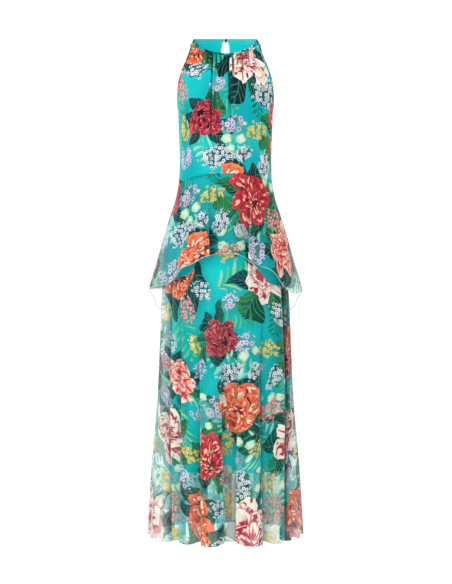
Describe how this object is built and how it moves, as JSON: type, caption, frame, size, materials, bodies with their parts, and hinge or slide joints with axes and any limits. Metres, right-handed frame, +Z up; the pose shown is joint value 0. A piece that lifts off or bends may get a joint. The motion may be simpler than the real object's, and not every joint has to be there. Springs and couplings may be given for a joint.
{
  "type": "sleeveless maxi dress",
  "caption": "Sleeveless halter-neck maxi dress in printed sheer chiffon, with a gathered front, a pointed peplum, a keyhole back and a long loose skirt over a shorter plain lining.",
  "frame": {"origin": "middle of the neck opening, level with the top of the shoulders, where the wearer holds the dress up", "axes": "+Z up, out of the neck opening; -Y is the front of the dress; +X is to the right as seen from the front"},
  "size_m": [0.4636, 0.427, 1.4671],
  "materials": {
    "printed_chiffon": "sheer polyester chiffon with an all-over flower print on turquoise, matt with a soft sheen",
    "printed_trim": "the same printed chiffon, doubled and pressed into narrow bands, matt",
    "lining_cloth": "plain turquoise woven lining with a slight satin sheen",
    "button_dark": "dark polished button"
  },
  "bodies": {
    "root": {"bodice_front": "printed_chiffon", "bodice_back": "printed_chiffon", "back_lining": "lining_cloth", "neckband": "printed_trim", "armhole_binding_left": "printed_trim", "armhole_binding_right": "printed_trim", "button": "button_dark", "button_loop": "printed_trim", "peplum_front": "printed_chiffon", "peplum_back": "printed_chiffon", "skirt_front": "printed_chiffon", "skirt_back": "printed_chiffon", "skirt_lining_front": "lining_cloth", "skirt_lining_back": "lining_cloth"}
  },
  "joints": []
}
